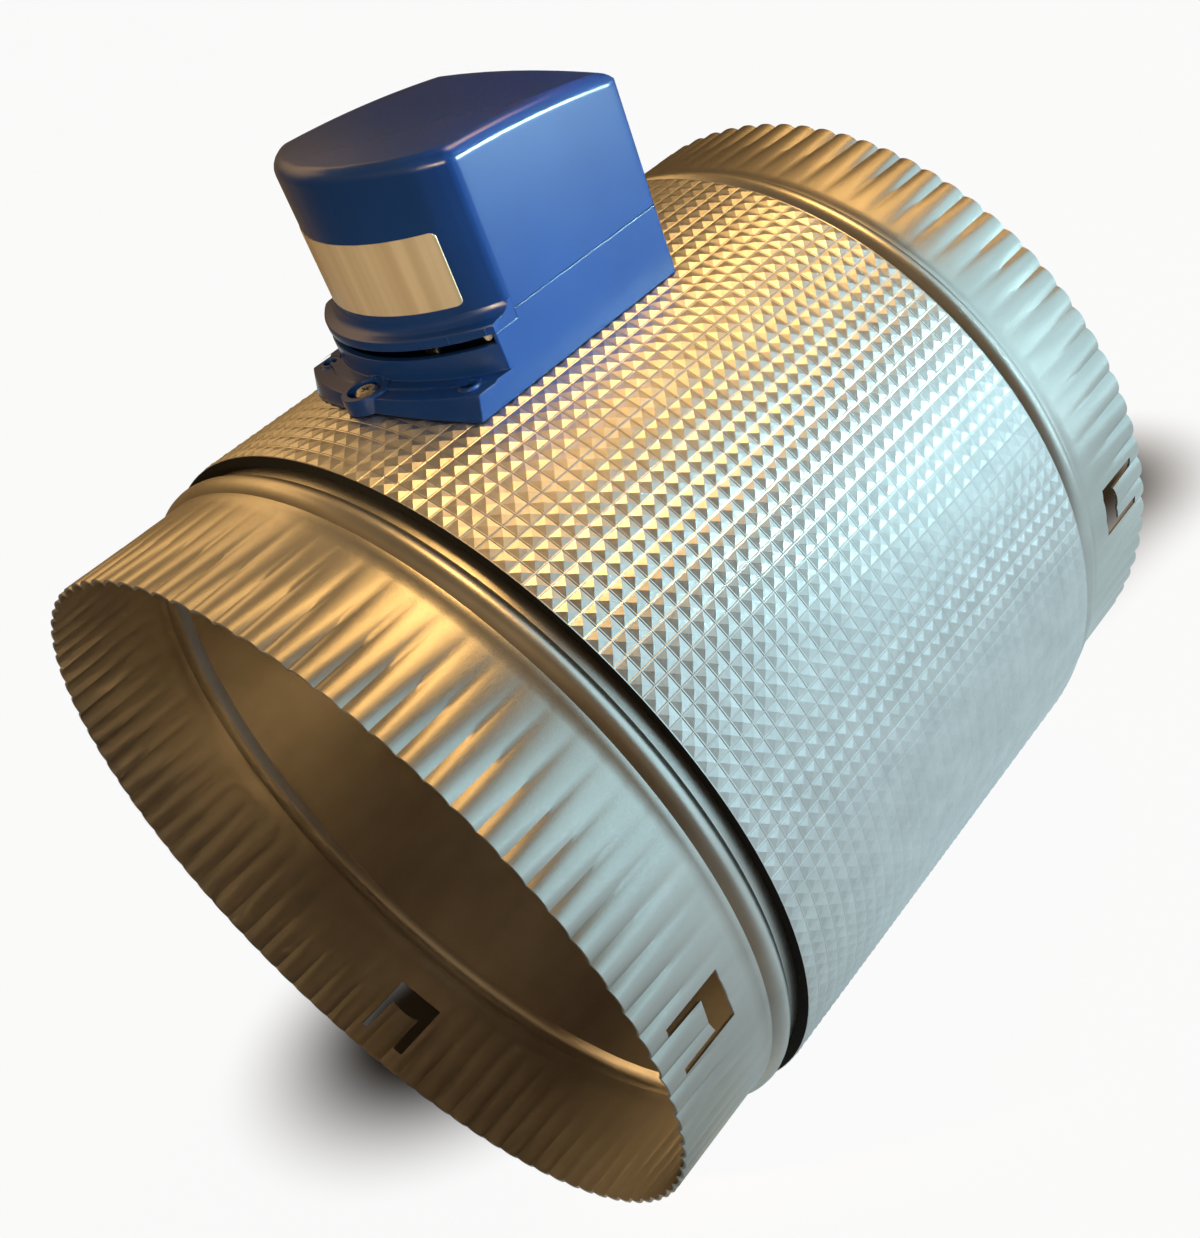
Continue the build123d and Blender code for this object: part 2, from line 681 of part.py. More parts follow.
def cover_block(shrink, corner=0.0, edge=0.0):
    """Solid D-shaped block under the arched top, with its top edge rounded."""
    face = d_face(COVER_R - shrink, HALF_W - shrink, FAR_X - shrink, corner)
    arch = Pos(SX + TOP_CREST, 0, Z0 + TOP_H - TOP_BOW) * Rot(90, 0, 0)
    block = prism(face, SEAM_Z, Z0 + TOP_H + 10) & arch * Cylinder(TOP_BOW - shrink, 4 * HALF_W)
    if edge > 0:
        top = max(block.faces(), key=lambda f: f.center().Z)
        block = fillet(top.edges(), edge)
    return block


def cover_lip():
    """Lip over the pointer slit, with raised marks for the pointer's positions."""
    lip = prism(d_face(BASE_R, HALF_W, FAR_X, BASE_CORNER_R), SLIT_Z1, SEAM_Z)
    lip &= box_between(SX - BASE_R, STEP_X, -HALF_W, HALF_W, SLIT_Z1, SEAM_Z)
    for inward in MARKS_IN:
        angle = 180 + degrees(asin((SLIT_Y - inward) / BASE_R))
        mark = Rot(0, 0, angle) * Pos(BASE_R, 0) * Rectangle(2 * MARK_H, MARK_W)
        lip += prism(mark, SLIT_Z1, SEAM_Z - 0.6)
    return lip


def actuator_cover():
    """Upper casing: arched shell whose lip overhangs the pointer slit."""
    far_ends = d_face(COVER_R + 1, HALF_W, FAR_X, 0.0, FAR_CORNER_R)
    shell = cover_block(0, CORNER_R, EDGE_R) & prism(far_ends, SEAM_Z, Z0 + TOP_H + 10)
    face = d_face(COVER_R - CASE_T, CASE_IN, FAR_X - CASE_T)
    shell += cover_lip()
    shell -= cover_block(CASE_T)
    shell -= prism(face, SLIT_Z1 - 1, SEAM_Z + 0.5)
    return shell - cylinder_x(GROMMET_R, SX, SX + FAR_X + 5, 0, GROMMET_Z)


def wire_grommet():
    """Rubber grommet of the wire entry in the far end."""
    x = SX + FAR_X
    ring = cylinder_x(GROMMET_R, x - CASE_T, x, 0, GROMMET_Z)
    ring += cylinder_x(GROMMET_R + GROMMET_LIP, x, x + 1.6, 0, GROMMET_Z)
    ring += cylinder_x(GROMMET_R + GROMMET_LIP - 0.6, x - CASE_T - 1.4, x - CASE_T, 0, GROMMET_Z)
    return ring - cylinder_x(GROMMET_BORE, x - 10, x + 10, 0, GROMMET_Z)


def cover_label():
    """Blank label wrapped round the cover's end."""
    low, high = Z0 + LABEL_LOW, Z0 + LABEL_HIGH
    ring = cylinder_z(COVER_R + LABEL_T, low, high, SX)
    ring -= cylinder_z(COVER_R + GLUE, low - 1, high + 1, SX)
    half = (COVER_R + LABEL_T) * sin(radians(LABEL_HALF))
    window = Plane.YZ * RectangleRounded(2 * half, high - low, LABEL_CORNER)
    cutter = Pos(SX - COVER_R - 5, 0, (low + high) / 2) * extrude(window, COVER_R)
    return ring & cutter


# Parts inside the casing


def pan_screw(x, y, z):
    """Sheet metal screw through base, insulation and tube, with a cross recess."""
    shank = cylinder_z(SCREW_R, IN_R - 1.0, z, x, y)
    tip = Pos(x, y, IN_R - 2.0) * Cone(0.3, SCREW_R, 2.0)
    top = z + SCREW_HEAD_H
    head = cylinder_z(SCREW_HEAD_R, z, top, x, y)
    head = chamfer(head.edges().group_by(Axis.Z)[-1], 0.7)
    cross = Box(RECESS_L, RECESS_W, SCREW_HEAD_H) + Box(RECESS_W, RECESS_L, SCREW_HEAD_H)
    return shank + tip + head - Pos(x, y, top) * cross


def lug_screw():
    """Screw in the counterbore of the flange's lug."""
    x, y = screw_places()[0]
    return pan_screw(x, y, LUG_TOP - LUG_SINK)


def base_screws():
    """Two screws through the floor of the base, under the cover."""
    return [pan_screw(x, y, FLOOR_Z) for x, y in screw_places()[1:]]


def post_places():
    """Plan positions of the posts under the gear plate."""
    stations = (SX - PLATE_NEAR + POST_IN + 0.8, PLATE_X1 - POST_IN)
    return [(x, side * (PLATE_Y - POST_IN)) for x in stations for side in (-1, 1)]


def plate_posts():
    """Four posts between the floor and the gear plate."""
    return [cylinder_z(POST_R, FLOOR_Z, PLATE_Z, x, y) for x, y in post_places()]


def gear_plate():
    """Steel plate that holds the idler pin, the motor and the circuit board."""
    plate = box_between(SX - PLATE_NEAR, PLATE_X1, -PLATE_Y, PLATE_Y, PLATE_Z, PLATE_TOP)
    plate -= cylinder_z(IDLER_PIN_R, PLATE_Z - 1, PLATE_TOP + 1, *idler_place())
    return plate - cylinder_z(MOTOR_SHAFT_R + 0.8, PLATE_Z - 1, PLATE_TOP + 1, *motor_place())


def plate_screws():
    """Screw heads on the gear plate, over the posts."""
    return [cylinder_z(POST_R - 0.4, PLATE_TOP, PLATE_TOP + 1.4, x, y) for x, y in post_places()]


def motor_can():
    """Round motor can on the gear plate."""
    x, y = motor_place()
    can = cylinder_z(MOTOR_R, PLATE_TOP, PLATE_TOP + MOTOR_L, x, y)
    can = chamfer(can.edges().group_by(Axis.Z)[-1], 1.2)
    return can - cylinder_z(MOTOR_SHAFT_R + RUN_GAP, PLATE_TOP - 1, PLATE_TOP + MOTOR_SINK, x, y)


def board_posts():
    """Spacers between the gear plate and the circuit board."""
    stations = (SX - PLATE_NEAR + 8.0, BOARD_X1 - 4.0)
    places = [(x, side * (BOARD_Y - 4.0)) for x in stations for side in (-1, 1)]
    return [cylinder_z(POST_R - 0.8, PLATE_TOP, BOARD_Z, x, y) for x, y in places]


def circuit_board():
    """Circuit board above the gear plate."""
    return box_between(BOARD_X0, BOARD_X1, -BOARD_Y, BOARD_Y, BOARD_Z, BOARD_Z + BOARD_T)


def terminal_block():
    """Terminal block on the board, with a screw hole and a wire mouth for each pole."""
    low = BOARD_Z + BOARD_T
    high = low + TERMINAL_H
    x0 = BOARD_X1 - TERMINAL_W - TERMINAL_IN
    x1 = x0 + TERMINAL_W
    half = TERMINALS * TERMINAL_PITCH / 2 + 0.4
    block = box_between(x0, x1, -half, half, low, high)
    for k in range(TERMINALS):
        y = (k - (TERMINALS - 1) / 2) * TERMINAL_PITCH
        block -= cylinder_z(1.9, high - 2.5, high + 1, (x0 + x1) / 2, y)
        block -= box_between(x1 - 1.5, x1 + 1, y - 2.0, y + 2.0, low + 1.5, low + 5.5)
    return block


def end_switches():
    """Two end switches beside the cam."""
    reach = CAM_REACH + SWITCH_GAP + BUTTON + SWITCH_L / 2
    switches = []
    for angle in SWITCHES_AT:
        x, y = polar(reach, angle)
        place = Pos(SX + x, y, FLOOR_Z + SWITCH_H / 2) * Rot(0, 0, angle)
        button = Pos(-(SWITCH_L + BUTTON) / 2, 0, 0.4) * Box(BUTTON, 3 * BUTTON, 2 * BUTTON)
        switches.append(place * (Box(SWITCH_L, SWITCH_W, SWITCH_H) + button))
    return switches


PARTS = {
    "duct_tube": duct_tube,
    "insulation_foam": insulation_foam,
    "foil_facing": foil_facing,
    "upper_bushing": bushing,
    "lower_bushing": lower_bushing,
    "blade_shaft": blade_shaft,
    "shaft_retainer": shaft_retainer,
    "blade_plate_front": blade_plate_front,
    "blade_seal": blade_seal,
    "blade_plate_back": blade_plate_back,
    "blade_straps": blade_straps,
    "blade_bolts": blade_bolts,
    "blade_nuts": blade_nuts,
    "blade_rivets": blade_rivets,
    "drive_hub": drive_hub,
    "hub_set_screw": hub_set_screw,
    "switch_cam": switch_cam,
    "pointer_arm": pointer_arm,
    "pointer_tip": pointer_tip,
    "output_gear": output_gear,
    "idler_pinion": idler_pinion,
    "idler_wheel": idler_wheel,
    "idler_pin": idler_pin,
    "motor_pinion": motor_pinion,
    "motor_shaft": motor_shaft,
    "motor_can": motor_can,
    "gear_plate": gear_plate,
    "plate_posts": plate_posts,
    "plate_screws": plate_screws,
    "board_posts": board_posts,
    "circuit_board": circuit_board,
    "terminal_block": terminal_block,
    "end_switches": end_switches,
    "actuator_base": actuator_base,
    "actuator_cover": actuator_cover,
    "cover_label": cover_label,
    "lug_screw": lug_screw,
    "base_screws": base_screws,
    "wire_grommet": wire_grommet,
}


def main():
    """Build every sub-part and write one STEP file for each."""
    os.makedirs("parts", exist_ok=True)
    for node, build in PARTS.items():
        shape = build()
        if isinstance(shape, list):
            shape = Compound(children=[s for piece in shape for s in piece.solids()])
        export_step(shape, f"parts/{node}.step")


main()
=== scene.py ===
import json
from math import atan2, cos, pi, radians, sin, sqrt

import bmesh
import bpy
from mathutils import Matrix, Vector


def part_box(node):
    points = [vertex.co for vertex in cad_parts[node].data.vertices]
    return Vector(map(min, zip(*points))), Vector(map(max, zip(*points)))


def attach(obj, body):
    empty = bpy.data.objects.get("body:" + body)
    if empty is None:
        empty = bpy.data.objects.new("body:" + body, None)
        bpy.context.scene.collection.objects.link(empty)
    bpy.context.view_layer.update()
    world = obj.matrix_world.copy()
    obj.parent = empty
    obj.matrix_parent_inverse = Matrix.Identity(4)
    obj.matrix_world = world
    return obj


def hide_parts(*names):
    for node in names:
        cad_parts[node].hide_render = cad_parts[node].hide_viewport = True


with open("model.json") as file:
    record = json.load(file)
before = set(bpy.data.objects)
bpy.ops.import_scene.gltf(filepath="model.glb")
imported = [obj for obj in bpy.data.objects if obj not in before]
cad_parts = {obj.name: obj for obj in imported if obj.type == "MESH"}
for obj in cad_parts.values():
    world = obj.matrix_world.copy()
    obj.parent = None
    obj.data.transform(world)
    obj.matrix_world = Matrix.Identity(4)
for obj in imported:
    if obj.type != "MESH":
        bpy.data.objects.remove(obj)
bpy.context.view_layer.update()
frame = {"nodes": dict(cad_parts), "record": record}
MM = 0.001  # lengths are in metres
SAME = 0.001 * MM  # places closer than this are one

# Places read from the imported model
FOIL_LOW, FOIL_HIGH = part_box("foil_facing")
SHAFT_LOW, SHAFT_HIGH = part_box("blade_shaft")
LABEL_LOW, LABEL_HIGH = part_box("cover_label")
COVER_LOW, COVER_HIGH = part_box("actuator_cover")
GROMMET_LOW, GROMMET_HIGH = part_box("wire_grommet")
DUCT_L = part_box("duct_tube")[1].x
FOIL_R = FOIL_HIGH.y
SHAFT_X = (SHAFT_LOW.x + SHAFT_HIGH.x) / 2

# Sheet tube
DUCT_R = 127.0 * MM
WALL = 0.8 * MM
FLUTES = 90
FLUTE_POINTS = 8  # corners of the rim in one flute
FLUTE_DEPTH = 1.3 * MM
FLUTE_FADE = 1.15  # power by which a flute fades towards the plain tube
FLUTE_FLANK = 1.4  # power by which a valley sharpens
CRIMP_L = 38.7 * MM
CRIMP_STEP = 0.15 * MM  # the crimped end is this much smaller in radius
BEAD_X = 45.1 * MM
BEAD_HALF = 4.2 * MM
BEAD_H = 2.6 * MM
SLOTS = 3
SLOT_FIRST = 90.5  # degrees from +Z towards -Y
SLOT_X0, SLOT_X1 = 6.8 * MM, 28.0 * MM
SLOT_WEB = 7.8 * MM
SLOT_HALF = 9.65 * MM
SLOT_LEG_HIGH = 4.0 * MM
SLOT_LEG_LOW = 2.7 * MM
TONGUE_BOW = 0.9 * MM
PUNCH_HALF = 6 * MM

# Actuator casing
COVER_R = 46.6 * MM
LIP_R = SHAFT_X - COVER_LOW.x
CASING_HALF = COVER_HIGH.y
CASING_FAR = COVER_HIGH.x
LIP_Z = COVER_LOW.z
LIP_BACK = 26.66 * MM  # the lip's cut end, from the shaft
SEAM_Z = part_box("actuator_base")[1].z
TOP_Z = COVER_HIGH.z
CREST_X = SHAFT_X - 34.7 * MM
TOP_BOW = 413.0 * MM
TOP_CROWN = 1.5 * MM
EDGE_ROUND = 4.0 * MM
CORNER_ROUND = 1.64 * MM
FAR_ROUND = 1.5 * MM
SOFT_EDGE = 0.35 * MM
COVER_WALL = 2.3 * MM
GROMMET_R = 6.0 * MM
GROMMET_Z = (GROMMET_LOW.z + GROMMET_HIGH.z) / 2
MARKS_IN = (1.9 * MM, 10.3 * MM, 18.6 * MM)  # raised marks, inwards from the casing's side
MARK_SIZE = (0.5 * MM, 0.6 * MM, 2.0 * MM)
MARK_MIDDLE = 1.1 * MM  # above the lip's lower edge

# Facing and foam
CELLS_ROUND = 157
CELLS_LONG = 33
EMBOSS = 0.45 * MM
SEAM_RIDGE = 0.09 * MM
CHANNEL = 0.33 * MM  # half width of the seam between two cells
FOAM_OUT = FOIL_R - EMBOSS - 0.1 * MM
FOAM_IN = DUCT_R + 0.05 * MM
FOAM_INSET = 0.15 * MM  # the foam's ends stand this far inside the facing's
FOAM_LEAN = 0.1 * MM

# Studio
FLOOR_Z = FOIL_LOW.z - 0.1 * MM
FLOOR_SEEN = 0.95  # share of even white that the camera sees on the floor
FLOOR_MIRRORED = 0.82  # share that metal mirrors
PAINTED_SHADE_R = 88 * MM  # half width of the soft shade painted on the floor under the duct
PAINTED_SHADE_X0, PAINTED_SHADE_X1 = 32 * MM, DUCT_L + 140 * MM  # ends of its middle line
PAINTED_SHADE_Y = 70 * MM  # where its middle line starts
PAINTED_SHADE_SLANT = 0.18  # how much the middle line turns towards -Y along the duct
BACKDROP_R = 800 * MM


# Modelling helpers


def only(obj):
    """Selects one object and makes it the active one."""
    bpy.ops.object.select_all(action="DESELECT")
    obj.select_set(True)
    bpy.context.view_layer.objects.active = obj
    return obj


def named(name):
    """Names the object that was just added and settles its place in its mesh."""
    obj = bpy.context.object
    only(obj)
    bpy.ops.object.transform_apply(location=True, rotation=True, scale=True)
    obj.name = name
    obj.data.name = name
    return obj


def edit(obj, mode="VERT"):
    """Opens a mesh for editing with nothing selected."""
    only(obj)
    bpy.ops.object.mode_set(mode="EDIT")
    bpy.ops.mesh.select_mode(type=mode)
    bpy.ops.mesh.select_all(action="DESELECT")


def done():
    """Leaves edit mode."""
    bpy.ops.object.mode_set(mode="OBJECT")


def pick(obj, parts, test):
    """Selects exactly the vertices, edges or faces of the open mesh that pass a test."""
    bpy.ops.mesh.select_all(action="DESELECT")
    mesh = bmesh.from_edit_mesh(obj.data)
    for part in getattr(mesh, parts):
        if test(part):
            part.select_set(True)
    mesh.select_flush_mode()
    bmesh.update_edit_mesh(obj.data)


def at(value, place):
    """True where a value is at a place."""
    return abs(value - place) < SAME


def pick_points(obj, test):
    """Selects the vertices whose place passes a test."""
    pick(obj, "verts", lambda vert: test(vert.co))


def pick_faces(obj, test):
    """Selects the faces whose centre and normal pass a test."""
    pick(obj, "faces", lambda face: test(face.calc_center_median(), face.normal))


def pick_edges(obj, test):
    """Selects the edges whose two ends pass a test."""
    pick(obj, "edges", lambda edge: test(edge.verts[0].co, edge.verts[1].co))


def everything():
    """Selects all of the open mesh."""
    bpy.ops.mesh.select_all(action="SELECT")


def face_outward():
    """Turns all faces of the open mesh outward."""
    everything()
    bpy.ops.mesh.normals_make_consistent(inside=False)


def weld(gap):
    """Merges the doubles of the open mesh and turns its faces outward."""
    everything()
    bpy.ops.mesh.remove_doubles(threshold=gap)
    bpy.ops.mesh.normals_make_consistent(inside=False)


def grow(offset=(0, 0, 0)):
    """Extrudes what is selected and moves the new part."""
    bpy.ops.mesh.extrude_region_move()
    if any(offset):
        bpy.ops.transform.translate(value=offset)


def swell(scale, x):
    """Scales what is selected about the duct axis."""
    bpy.ops.transform.resize(value=(1, scale, scale), center_override=(x, 0, 0))


def modify(obj, kind, **values):
    """Adds a modifier, sets it and applies it."""
    only(obj)
    bpy.ops.object.modifier_add(type=kind)
    modifier = obj.modifiers[-1]
    for key, value in values.items():
        setattr(modifier, key, value)
    bpy.ops.object.modifier_apply(modifier=modifier.name)
    return obj


def drop_object(obj):
    """Removes an object that has served as a tool."""
    bpy.data.objects.remove(obj, do_unlink=True)


def duct_angle(point):
    """Angle of a point about the duct axis, from +Z towards -Y, in degrees."""
    return Vector((point.z, -point.y)).angle_signed(Vector((1, 0))) * 180 / pi


def rounded(obj, angle=35):
    """Smooth shading with edges kept sharp above an angle."""
    only(obj)
    bpy.ops.object.shade_smooth_by_angle(angle=radians(angle))
    return obj


def join(first, others):
    """Joins objects into the first one."""
    only(first)
    for other in others:
        other.select_set(True)
    bpy.ops.object.join()
    return first


# Sheet tube


def tube_stations():
    """Stations along the first half of the tube as (x, radius)."""
    crimp = [0.0, 1.0, 3.5, 7.0, 11.0, 15.0, 19.0, 23.0, 27.0, 31.0, 35.0, 38.5]
    stations = [(x * MM, DUCT_R - CRIMP_STEP) for x in crimp]
    stations.append((CRIMP_L + 0.1 * MM, DUCT_R))
    steps = 10
    for k in range(steps + 1):
        x = BEAD_X - BEAD_HALF * cos(pi * k / steps)
        rise = BEAD_H * (1 - ((x - BEAD_X) / BEAD_HALF) ** 2)
        stations.append((x, DUCT_R + rise))
    stations.append((DUCT_L / 2, DUCT_R))
    return stations


def flute_fade(x):
    """Share of the full flute depth that is left at a distance from the rim."""
    run = min(max(x / CRIMP_L, 0.0), 1.0)
    return (1 - run) ** FLUTE_FADE


def sink_flutes(obj, stations):
    """Draws the valleys of the flutes inwards, ring by ring and from the middle to the crests."""
    step = 360.0 / FLUTES / FLUTE_POINTS
    edit(obj)
    for x, radius in stations:
        depth = FLUTE_DEPTH * flute_fade(x)
        if x > CRIMP_L or depth < 0.01 * MM:
            continue
        for phase in range(FLUTE_POINTS // 2):
            share = (1 - sin(pi * phase / FLUTE_POINTS)) ** FLUTE_FLANK

            def in_phase(point):
                if abs(point.x - x) > 0.05 * MM:
                    return False
                turn = duct_angle(point) / step % FLUTE_POINTS
                return abs(min(turn, FLUTE_POINTS - turn) - phase) < 0.2

            pick_points(obj, in_phase)
            swell((radius - depth * share) / radius, x)
    done()


def slot_cutter(angle):
    """U-shaped punch for one slot, standing on the tube's wall."""
    bpy.ops.mesh.primitive_plane_add(size=1)
    tool = named("punch")
    edit(tool)
    everything()
    bpy.ops.transform.resize(value=(SLOT_X1 - SLOT_X0, 2 * SLOT_HALF, 1))
    bpy.ops.transform.translate(value=((SLOT_X0 + SLOT_X1) / 2, 0, 0))
    tongue_end = SLOT_X1 - SLOT_WEB
    for y in (SLOT_HALF - SLOT_LEG_HIGH, -SLOT_HALF + SLOT_LEG_LOW):
        everything()
        bpy.ops.mesh.bisect(plane_co=(0, y, 0), plane_no=(0, 1, 0))
    everything()
    bpy.ops.mesh.bisect(plane_co=(tongue_end, 0, 0), plane_no=(1, 0, 0))
    middle = (SLOT_LEG_LOW - SLOT_LEG_HIGH) / 2
    reach = SLOT_HALF - (SLOT_LEG_LOW + SLOT_LEG_HIGH) / 2
    bpy.ops.mesh.select_mode(type="EDGE")
    pick_edges(tool, lambda a, b: at(a.x, tongue_end) and at(b.x, tongue_end)
               and at(a.y + b.y, 2 * middle))
    cuts = 5
    bpy.ops.mesh.subdivide(number_cuts=cuts)
    bpy.ops.mesh.select_mode(type="VERT")
    for k in range(1, cuts + 1):
        share = 2 * k / (cuts + 1) - 1
        y = middle + reach * share
        pick_points(tool, lambda p: at(p.x, tongue_end) and at(p.y, y))
        bpy.ops.transform.translate(value=(-TONGUE_BOW * (1 - share ** 2), 0, 0))
    bpy.ops.mesh.select_mode(type="FACE")
    pick_faces(tool, lambda c, n: abs(c.y - middle) < reach and c.x < tongue_end)
    bpy.ops.mesh.delete(type="FACE")
    everything()
    bpy.ops.transform.translate(value=(0, 0, DUCT_R - PUNCH_HALF))
    grow((0, 0, 2 * PUNCH_HALF))
    face_outward()
    done()
    tool.rotation_euler = (radians(angle), 0, 0)
    only(tool)
    bpy.ops.object.transform_apply(location=True, rotation=True, scale=True)
    return tool


def mirrored_copy(obj, name):
    """The same mesh at the other end of the duct, right side out."""
    only(obj)
    bpy.ops.object.duplicate()
    copy = named(name)
    edit(copy)
    everything()
    bpy.ops.transform.resize(value=(-1, 1, 1), center_override=(DUCT_L / 2, 0, 0))
    bpy.ops.mesh.normals_make_consistent(inside=False)
    done()
    return copy


def make_tube():
    """Crimped and beaded sheet tube with its punched slots."""
    stations = tube_stations()
    x, radius = stations[0]
    bpy.ops.mesh.primitive_circle_add(
        vertices=FLUTES * FLUTE_POINTS, radius=radius, location=(0, 0, 0), rotation=(0, pi / 2, 0)
    )
    half = named("tube_half")
    edit(half)
    everything()
    for x_next, radius_next in stations[1:]:
        grow((x_next - x, 0, 0))
        swell(radius_next / radius, x_next)
        x, radius = x_next, radius_next
    done()
    sink_flutes(half, stations)
    other = mirrored_copy(half, "tube_other_half")
    tube = join(half, [other])
    tube.name = "tube_sheet"
    edit(tube)
    weld(0.02 * MM)
    done()
    modify(tube, "SOLIDIFY", thickness=WALL, offset=-1.0, use_even_offset=True)
    punches = []
    for k in range(SLOTS):
        punches.append(slot_cutter(SLOT_FIRST + 360 / SLOTS * k))
        punches.append(mirrored_copy(punches[-1], "punch_far"))
    punch = join(punches[0], punches[1:])
    modify(tube, "BOOLEAN", operation="DIFFERENCE", object=punch, solver="EXACT")
    drop_object(punch)
    rounded(tube, 28)
    return tube


# Insulation


def open_sleeve(name, around, radius, x0, x1):
    """Open cylinder round the duct."""
    bpy.ops.mesh.primitive_cylinder_add(
        vertices=around, radius=radius, depth=x1 - x0, end_fill_type="NOTHING",
        location=((x0 + x1) / 2, 0, 0), rotation=(0, pi / 2, 0)
    )
    return named(name)


def along_duct(a, b):
    """True for an edge that runs along the duct."""
    return abs(a.x - b.x) > 1e-5


def make_facing():
    """Embossed aluminium skin: square cells with a raised four-sided point each."""
    low, high = FOIL_LOW.x, FOIL_HIGH.x
    radius = FOIL_R - EMBOSS + SEAM_RIDGE
    skin = open_sleeve("foil_skin", CELLS_ROUND, radius, low, high)
    edit(skin, "EDGE")
    pick_edges(skin, along_duct)
    bpy.ops.mesh.subdivide(number_cuts=CELLS_LONG - 1)
    bpy.ops.mesh.select_mode(type="FACE")
    face_outward()
    bpy.ops.mesh.inset(thickness=CHANNEL, depth=-SEAM_RIDGE, use_individual=True)
    bpy.ops.mesh.poke(offset=EMBOSS, use_relative_offset=False)
    for end, inward in ((low, 1), (high, -1)):
        bpy.ops.mesh.select_mode(type="EDGE")
        pick_edges(skin, lambda a, b: at(a.x, end) and at(b.x, end))
        grow()
        swell((FOAM_OUT + 0.02 * MM) / radius, end)
        grow((inward * (high - low) / 2, 0, 0))
    weld(0.002 * MM)
    done()
    return skin


def make_foam():
    """Black foam sleeve; its cut ends lean in a little at the tube."""
    low, high = FOIL_LOW.x + FOAM_INSET, FOIL_HIGH.x - FOAM_INSET
    sleeve = open_sleeve("foam_sleeve", 2 * CELLS_ROUND, FOAM_OUT, low, high)
    edit(sleeve, "EDGE")
    for end, inward in ((low, 1), (high, -1)):
        pick_edges(sleeve, lambda a, b: at(a.x, end) and at(b.x, end))
        radius, steps = FOAM_OUT, 3
        for step in range(1, steps + 1):
            grow((inward * FOAM_LEAN, 0, 0))
            next_radius = FOAM_OUT - step / steps * (FOAM_OUT - FOAM_IN)
            swell(next_radius / radius, end)
            radius = next_radius
        grow((inward * (high - low) / 2, 0, 0))
    weld(0.002 * MM)
    done()
    return sleeve


# Actuator casing


def cut(obj, place, outward):
    """Cuts the open mesh with a plane and closes the cut; what lies outward goes."""
    everything()
    bpy.ops.mesh.bisect(plane_co=place, plane_no=outward, use_fill=True, clear_outer=True)


def bevel_picked(offset, segments):
    """Rounds the selected edges of the open mesh."""
    bpy.ops.mesh.bevel(offset=offset, offset_type="OFFSET", segments=segments, profile=0.5)


def upright(a, b):
    """True for an edge that stands along the shaft."""
    return at(a.x, b.x) and at(a.y, b.y) and not at(a.z, b.z)


def settle(obj, angle=35):
    """Smooth shading that keeps large faces flat beside their rounded edges."""
    rounded(obj, angle)
    modify(obj, "WEIGHTED_NORMAL", keep_sharp=True)
    return obj


def d_block(name, radius, low, high):
    """Closed upright block: round inlet end, straight sides, flat far end; left open to edit."""
    bpy.ops.mesh.primitive_cylinder_add(
        vertices=120, radius=radius, depth=high - low, location=(SHAFT_X, 0, (high + low) / 2)
    )
    block = named(name)
    edit(block)
    cut(block, (0, CASING_HALF, 0), (0, 1, 0))
    cut(block, (0, -CASING_HALF, 0), (0, -1, 0))
    cut(block, (SHAFT_X, 0, 0), (1, 0, 0))
    bpy.ops.mesh.select_mode(type="FACE")
    pick_faces(block, lambda c, n: c.x > SHAFT_X - SAME and abs(n.x) > 0.9)
    grow((CASING_FAR - SHAFT_X, 0, 0))
    face_outward()
    bpy.ops.mesh.dissolve_limited(angle_limit=radians(0.4))
    bpy.ops.mesh.select_mode(type="EDGE")
    return block


def cover_block():
    """Block of the cover with its corners and top edge rounded, open below."""
    trim = d_block("trim_tool", COVER_R + 2 * MM, SEAM_Z - 5 * MM, TOP_Z + 5 * MM)
    pick_edges(trim, lambda a, b: upright(a, b) and at(a.x, CASING_FAR))
    bevel_picked(FAR_ROUND, 4)
    done()
    block = d_block("cover_shell", COVER_R, SEAM_Z, TOP_Z)
    corner_x = SHAFT_X - sqrt(COVER_R ** 2 - CASING_HALF ** 2)
    pick_edges(block, lambda a, b: upright(a, b) and abs(a.x - corner_x) < 0.1 * MM)
    bevel_picked(CORNER_ROUND, 5)
    pick_edges(block, lambda a, b: min(a.z, b.z) > TOP_Z - SAME)
    bevel_picked(EDGE_ROUND, 6)
    done()
    modify(block, "BOOLEAN", operation="INTERSECT", object=trim, solver="EXACT")
    drop_object(trim)
    edit(block, "FACE")
    pick_faces(block, lambda c, n: n.z < -0.9)
    bpy.ops.mesh.delete(type="FACE")
    done()
    return block


def arch_top(block):
    """Slices the cover across and lowers each slice to the arch of its top."""
    edit(block)
    slices = 22
    low = SHAFT_X - COVER_R
    for k in range(1, slices):
        everything()
        x = low + (CASING_FAR - low) * k / slices
        bpy.ops.mesh.bisect(plane_co=(x, 0, 0), plane_no=(1, 0, 0))
    bpy.ops.mesh.select_mode(type="VERT")
    mesh = bmesh.from_edit_mesh(block.data)
    high = TOP_Z - 2 * EDGE_ROUND
    for x in sorted({round(vert.co.x, 6) for vert in mesh.verts if vert.co.z > high}):
        drop = TOP_BOW - sqrt(TOP_BOW ** 2 - (x - CREST_X) ** 2)
        pick_points(block, lambda p: p.z > high and round(p.x, 6) == x)
        bpy.ops.transform.translate(value=(0, 0, -drop))
    crown_top(block, high - EDGE_ROUND)
    done()


def crown_top(block, high):
    """Slices the cover lengthwise and lifts each slice to a slight crown across its top."""
    slices = 12
    for k in range(1, slices):
        everything()
        y = CASING_HALF * (2 * k / slices - 1)
        bpy.ops.mesh.bisect(plane_co=(0, y, 0), plane_no=(0, 1, 0))
    mesh = bmesh.from_edit_mesh(block.data)
    for y in sorted({round(vert.co.y, 6) for vert in mesh.verts if vert.co.z > high}):
        rise = TOP_CROWN * (1 - (y / CASING_HALF) ** 2)
        pick_points(block, lambda p: p.z > high and round(p.y, 6) == y)
        bpy.ops.transform.translate(value=(0, 0, rise))


